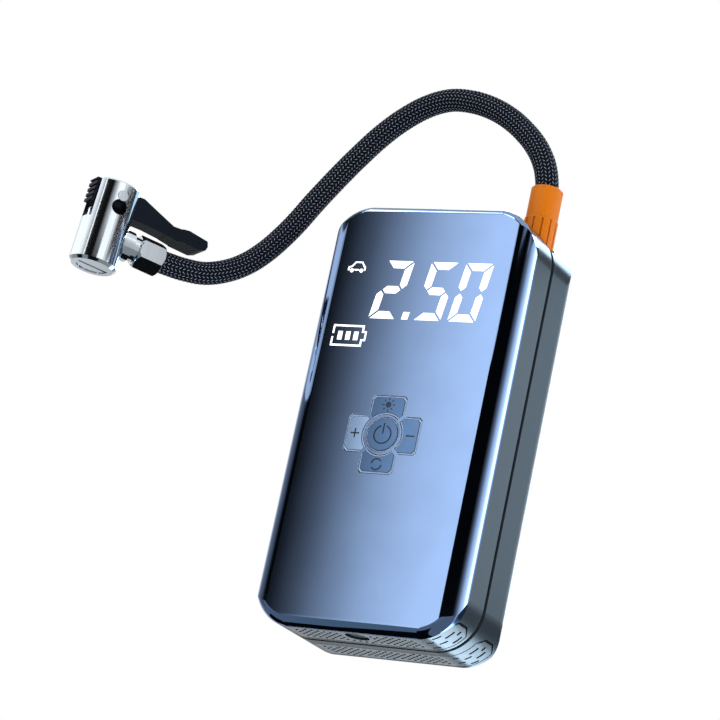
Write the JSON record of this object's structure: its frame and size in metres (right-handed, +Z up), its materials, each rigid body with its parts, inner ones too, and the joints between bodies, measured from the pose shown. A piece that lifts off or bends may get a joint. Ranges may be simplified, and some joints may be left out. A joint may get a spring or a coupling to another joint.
{
  "type": "portable tire inflator",
  "caption": "Slim cordless tire inflator: glossy display panel, button cross, top lamp, and a braided hose on an orange collar ending in a clip-on air chuck.",
  "frame": {"origin": "middle of the body's base, under the middle of the housing", "axes": "+Z up along the body's height, +X to the right seen from the display side, -Y out of the display"},
  "size_m": [0.1494, 0.0843, 0.1972],
  "materials": {
    "gloss_panel": "high gloss, very dark blue",
    "frame_plastic": "satin dark grey",
    "rear_plastic": "satin dark grey",
    "lit_white": "lit white",
    "white_plastic": "moulded",
    "circuit_board": "solder mask",
    "dark_plastic": "moulded",
    "button_gloss": "gloss",
    "cell_wrap": "shrink wrap",
    "plain_steel": "plain",
    "brass_part": "turned",
    "cast_alloy": "cast",
    "seal_rubber": "moulded",
    "clear_tube": "translucent",
    "lens_clear": "frosted",
    "orange_plastic": "satin",
    "braid_black": "braided",
    "chrome_part": "polished",
    "lever_plastic": "satin"
  },
  "bodies": {
    "housing": {"front_panel": "gloss_panel", "front_frame": "frame_plastic", "rear_housing": "rear_plastic", "display_segments": "lit_white", "display_icons": "lit_white", "light_box": "white_plastic", "display_board": "circuit_board", "main_board": "circuit_board", "tact_switches": "dark_plastic", "charge_socket": "dark_plastic", "battery_cells": "cell_wrap", "battery_holder": "dark_plastic", "motor_can": "plain_steel", "motor_endbell": "dark_plastic", "gear_plate": "cast_alloy", "gear_shaft": "plain_steel", "pump_cylinder": "cast_alloy", "cylinder_head": "cast_alloy", "outlet_valve": "seal_rubber", "air_tube": "clear_tube", "pressure_sensor": "dark_plastic", "lamp_lens": "lens_clear", "lamp_reflector": "white_plastic", "lamp_board": "circuit_board", "housing_screws": "plain_steel", "hose_socket": "brass_part"},
    "plus": {"plus_button": "button_gloss"},
    "minus": {"minus_button": "button_gloss"},
    "lamp": {"lamp_button": "button_gloss"},
    "mode": {"mode_button": "button_gloss"},
    "power": {"power_button": "button_gloss"},
    "pinion": {"drive_pinion": "brass_part", "motor_shaft": "plain_steel"},
    "crank": {"crank_gear": "white_plastic"},
    "piston": {"piston_rod": "cast_alloy", "piston_seal": "seal_rubber"},
    "collar": {"collar_nut": "orange_plastic"},
    "lever": {"clip_lever": "lever_plastic", "lever_pins": "chrome_part"},
    "hose_line": {"hose_tail": "plain_steel", "tail_seal": "seal_rubber", "hose": "braid_black", "hex_nut": "chrome_part", "chuck_neck": "chrome_part", "chuck_body": "chrome_part", "chuck_core": "brass_part", "valve_seal": "seal_rubber", "depressor_pin": "plain_steel", "end_plug": "chrome_part"}
  },
  "joints": [
    {"name": "plus_press", "type": "slide", "parent": "housing", "child": "plus", "axis": [0, 1, 0], "range_m": [0, 0.0004], "stiffness_N_per_m": 900, "springref_m": -0.0003},
    {"name": "minus_press", "type": "slide", "parent": "housing", "child": "minus", "axis": [0, 1, 0], "range_m": [0, 0.0004], "stiffness_N_per_m": 900, "springref_m": -0.0003},
    {"name": "lamp_press", "type": "slide", "parent": "housing", "child": "lamp", "axis": [0, 1, 0], "range_m": [0, 0.0004], "stiffness_N_per_m": 900, "springref_m": -0.0003},
    {"name": "mode_press", "type": "slide", "parent": "housing", "child": "mode", "axis": [0, 1, 0], "range_m": [0, 0.0004], "stiffness_N_per_m": 900, "springref_m": -0.0003},
    {"name": "power_press", "type": "slide", "parent": "housing", "child": "power", "axis": [0, 1, 0], "range_m": [0, 0.0004], "stiffness_N_per_m": 900, "springref_m": -0.0003},
    {"name": "crank_spin", "type": "hinge", "parent": "housing", "child": "crank", "pos_m": [0.00825, 0.0032, 0.0826], "axis": [0, 0, 1], "continuous": true},
    {"name": "pinion_spin", "type": "hinge", "parent": "housing", "child": "pinion", "pos_m": [0.0226, 0.0032, 0.0826], "axis": [0, 0, 1], "continuous": true},
    {"name": "piston_stroke", "type": "slide", "parent": "housing", "child": "piston", "axis": [-1, 0, 0], "range_m": [0, 0.01]},
    {"name": "hose_unplug", "type": "slide", "parent": "housing", "child": "hose_line", "axis": [0, 0, 1], "range_m": [0, 0.004]},
    {"name": "collar_turn", "type": "hinge", "parent": "hose_line", "child": "collar", "pos_m": [0.0295, 0, 0.15], "axis": [0, 0, 1], "range_deg": [0, 1152]},
    {"name": "clip_lift", "type": "hinge", "parent": "hose_line", "child": "lever", "pos_m": [-0.10251, -0.05525, 0.13077], "axis": [0.8387, -0.5446, 0], "range_deg": [0, 20], "stiffness_Nm_per_rad": 0.3, "springref_deg": -17.19}
  ],
  "couplings": [
    {"joint": "pinion_spin", "follows": "crank_spin", "ratio": -3.5556},
    {"joint": "collar_turn", "follows": "hose_unplug", "rad_per_m": 5026.5}
  ]
}
